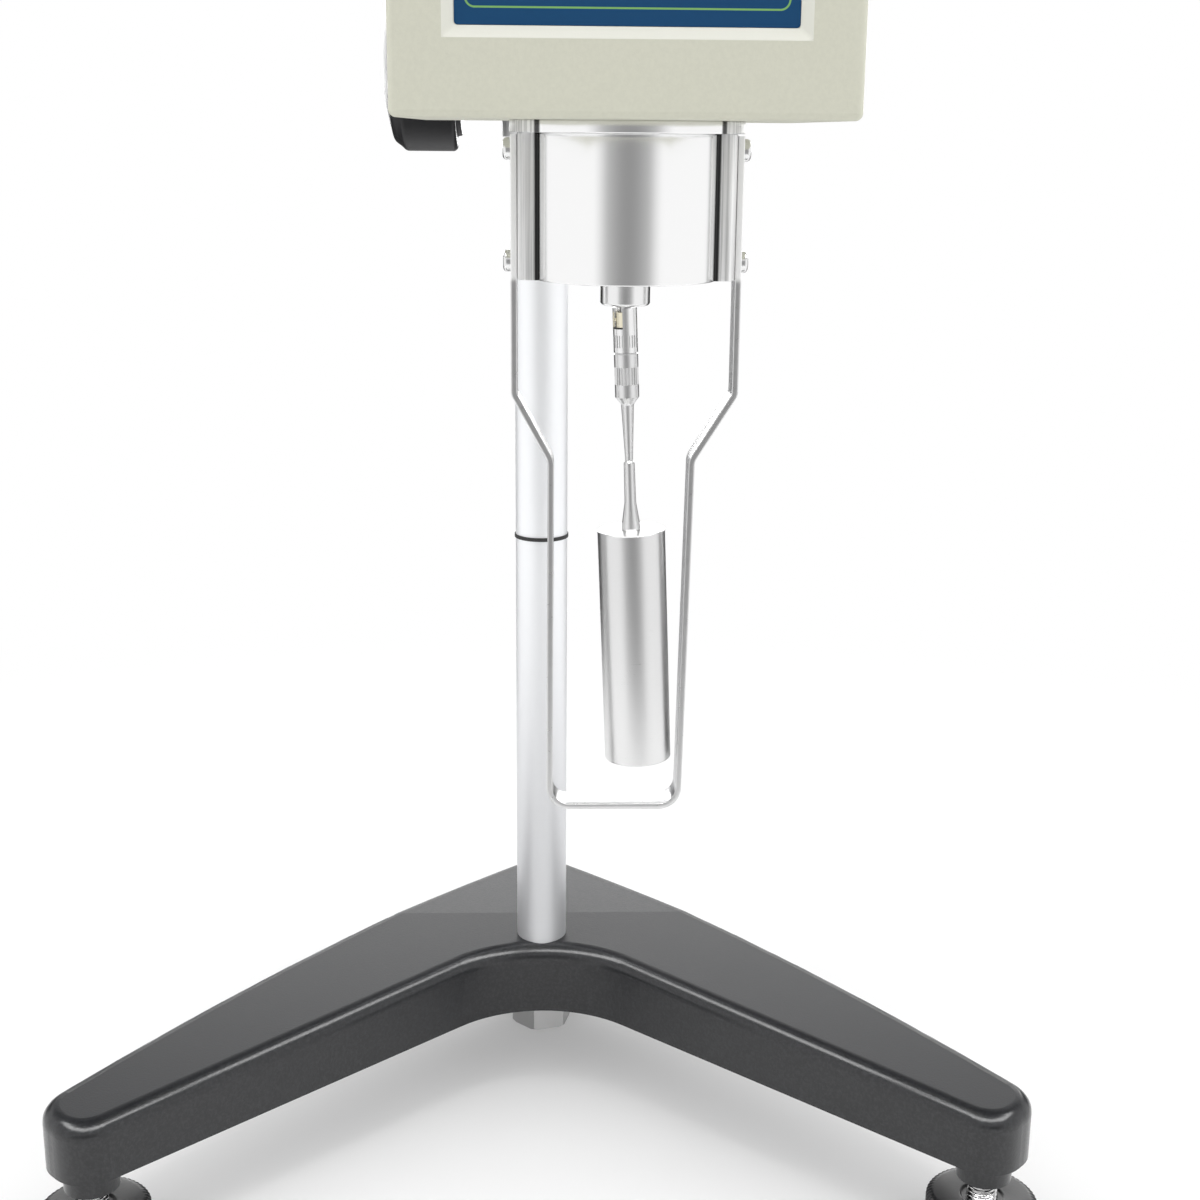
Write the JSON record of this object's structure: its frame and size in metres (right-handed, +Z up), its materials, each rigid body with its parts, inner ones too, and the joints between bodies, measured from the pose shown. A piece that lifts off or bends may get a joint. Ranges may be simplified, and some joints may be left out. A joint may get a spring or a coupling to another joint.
{
  "type": "rotational viscometer",
  "caption": "Bench instrument head with display, keys and a guarded hanging spindle, lifted by a rack and pinion on a column over a levelling base with two arms.",
  "frame": {"origin": "on the table, at the middle of the instrument's plan box", "axes": "+Z up, +Y from the display to the rear, +X to the right seen from the front"},
  "size_m": [0.316, 0.2504, 0.4876],
  "materials": {
    "base_paint": "fine-textured black powder coat",
    "column_metal": "satin, drawn along its length",
    "machined_metal": "fine turned",
    "polished_metal": "polished",
    "plated_metal": "bright plated",
    "strip_metal": "brushed strip",
    "carriage_metal": "satin",
    "bronze": "plain bearing bronze",
    "brass_metal": "machined",
    "knob_plastic": "glossy black",
    "black_plastic": "fine matt",
    "rubber_black": "plain",
    "housing_plastic": "fine moulded grain",
    "panel_film": "printed film",
    "key_plastic": "satin",
    "clear_window": "clear",
    "circuit_board": "solder mask",
    "motor_metal": "zinc plated",
    "spring_bronze": "rolled strip",
    "jewel": "polished"
  },
  "bodies": {
    "stand": {"base_casting": "base_paint", "column": "column_metal", "column_rack": "machined_metal", "column_nut": "machined_metal", "column_ring": "rubber_black", "column_cap": "black_plastic"},
    "carriage": {"carriage_body": "carriage_metal", "column_bushes": "bronze"},
    "lift_wheel": {"lift_knob": "knob_plastic", "pinion": "machined_metal"},
    "rod_clamp": {"rod_clamp_screw": "knob_plastic"},
    "head": {"head_rear_shell": "housing_plastic", "head_front_panel": "housing_plastic", "keypad_plate": "panel_film", "lcd_window": "clear_window", "display_board": "circuit_board", "main_board": "circuit_board", "power_unit": "motor_metal", "power_inlet": "black_plastic", "level_housing": "black_plastic", "level_vial": "clear_window", "housing_screws": "plated_metal", "head_rod": "column_metal", "rod_flange": "machined_metal", "chassis_screws": "plated_metal", "chassis_plate": "motor_metal", "frame_pillars": "plated_metal", "motor_plate": "motor_metal", "motor": "motor_metal", "photo_sensors": "black_plastic", "jewel_bearing": "jewel", "collar_flange": "polished_metal", "collar": "polished_metal", "collar_end_boss": "machined_metal", "guard": "strip_metal", "guard_screws": "plated_metal"},
    "power_switch": {"switch_rocker": "black_plastic"},
    "drive": {"drive_hub": "machined_metal", "upper_encoder_disc": "black_plastic", "hairspring": "spring_bronze"},
    "pivot": {"pivot_shaft": "machined_metal", "lower_encoder_disc": "black_plastic"},
    "joint_cross": {"uj_block": "brass_metal"},
    "spindle_unit": {"coupler_sleeve": "machined_metal", "spindle": "strip_metal"},
    "foot_pad_left": {"foot_tip_left": "rubber_black"},
    "foot_screw_left": {"foot_disc_left": "black_plastic", "foot_stud_left": "plated_metal"},
    "foot_pad_right": {"foot_tip_right": "rubber_black"},
    "foot_screw_right": {"foot_disc_right": "black_plastic", "foot_stud_right": "plated_metal"},
    "foot_pad_rear": {"foot_tip_rear": "rubber_black"},
    "foot_screw_rear": {"foot_disc_rear": "black_plastic", "foot_stud_rear": "plated_metal"},
    "push_left": {"key_left": "key_plastic"},
    "push_confirm": {"key_confirm": "key_plastic"},
    "push_right": {"key_right": "key_plastic"},
    "push_up": {"key_up": "key_plastic"},
    "push_reset": {"key_reset": "key_plastic"},
    "push_down": {"key_down": "key_plastic"}
  },
  "joints": [
    {"name": "foot_left_height", "type": "slide", "parent": "stand", "child": "foot_pad_left", "axis": [0, 0, 1], "range_m": [-0.0045, 0.0045]},
    {"name": "foot_left_turn", "type": "hinge", "parent": "foot_pad_left", "child": "foot_screw_left", "pos_m": [-0.1405, -0.05671, 0.01], "axis": [0, 0, 1], "range_deg": [-1110, 1110]},
    {"name": "foot_right_height", "type": "slide", "parent": "stand", "child": "foot_pad_right", "axis": [0, 0, 1], "range_m": [-0.0045, 0.0045]},
    {"name": "foot_right_turn", "type": "hinge", "parent": "foot_pad_right", "child": "foot_screw_right", "pos_m": [0.1405, -0.05671, 0.01], "axis": [0, 0, 1], "range_deg": [-1110, 1110]},
    {"name": "foot_rear_height", "type": "slide", "parent": "stand", "child": "foot_pad_rear", "axis": [0, 0, 1], "range_m": [-0.0045, 0.0045]},
    {"name": "foot_rear_turn", "type": "hinge", "parent": "foot_pad_rear", "child": "foot_screw_rear", "pos_m": [0, 0.10279, 0.01], "axis": [0, 0, 1], "range_deg": [-1110, 1110]},
    {"name": "carriage_lift", "type": "slide", "parent": "stand", "child": "carriage", "axis": [0, 0, 1], "range_m": [-0.1335, 0.04]},
    {"name": "lift_knob_turn", "type": "hinge", "parent": "carriage", "child": "lift_wheel", "pos_m": [0, 0.06989, 0.365], "axis": [1, 0, 0], "range_deg": [-870, 270]},
    {"name": "rod_clamp_turn", "type": "hinge", "parent": "carriage", "child": "rod_clamp", "pos_m": [0.04, 0.06279, 0.39], "axis": [1, 0, 0], "range_deg": [0, 360]},
    {"name": "head_roll", "type": "hinge", "parent": "carriage", "child": "head", "pos_m": [0.0225, 0.05479, 0.39], "axis": [0, 1, 0], "range_deg": [-15, 15]},
    {"name": "power_switch_rock", "type": "hinge", "parent": "head", "child": "power_switch", "pos_m": [-0.0143, -0.01181, 0.3975], "axis": [1, 0, 0], "range_deg": [0, 20]},
    {"name": "pivot_turn", "type": "hinge", "parent": "head", "child": "pivot", "pos_m": [0.0225, -0.06781, 0.32], "axis": [0, 0, 1], "continuous": true},
    {"name": "drive_turn", "type": "hinge", "parent": "head", "child": "drive", "pos_m": [0.0225, -0.06781, 0.4], "axis": [0, 0, 1], "continuous": true},
    {"name": "coupling_sway_side", "type": "hinge", "parent": "pivot", "child": "joint_cross", "pos_m": [0.0225, -0.06781, 0.293], "axis": [0, 1, 0], "range_deg": [-0.2, 5]},
    {"name": "coupling_sway_fore", "type": "hinge", "parent": "joint_cross", "child": "spindle_unit", "pos_m": [0.0225, -0.06781, 0.293], "axis": [0.9991, 0, 0.0419], "range_deg": [-2.6, 2.6]},
    {"name": "key_left_press", "type": "slide", "parent": "head", "child": "push_left", "axis": [0, 1, 0], "range_m": [0, 0.0006], "stiffness_N_per_m": 2500},
    {"name": "key_confirm_press", "type": "slide", "parent": "head", "child": "push_confirm", "axis": [0, 1, 0], "range_m": [0, 0.0006], "stiffness_N_per_m": 2500},
    {"name": "key_right_press", "type": "slide", "parent": "head", "child": "push_right", "axis": [0, 1, 0], "range_m": [0, 0.0006], "stiffness_N_per_m": 2500},
    {"name": "key_up_press", "type": "slide", "parent": "head", "child": "push_up", "axis": [0, 1, 0], "range_m": [0, 0.0006], "stiffness_N_per_m": 2500},
    {"name": "key_reset_press", "type": "slide", "parent": "head", "child": "push_reset", "axis": [0, 1, 0], "range_m": [0, 0.0006], "stiffness_N_per_m": 2500},
    {"name": "key_down_press", "type": "slide", "parent": "head", "child": "push_down", "axis": [0, 1, 0], "range_m": [0, 0.0006], "stiffness_N_per_m": 2500}
  ],
  "couplings": [
    {"joint": "foot_left_turn", "follows": "foot_left_height", "rad_per_m": 4188.8},
    {"joint": "foot_right_turn", "follows": "foot_right_height", "rad_per_m": 4188.8},
    {"joint": "foot_rear_turn", "follows": "foot_rear_height", "rad_per_m": 4188.8},
    {"joint": "lift_knob_turn", "follows": "carriage_lift", "rad_per_m": 111.11},
    {"joint": "drive_turn", "follows": "pivot_turn", "ratio": 1}
  ]
}
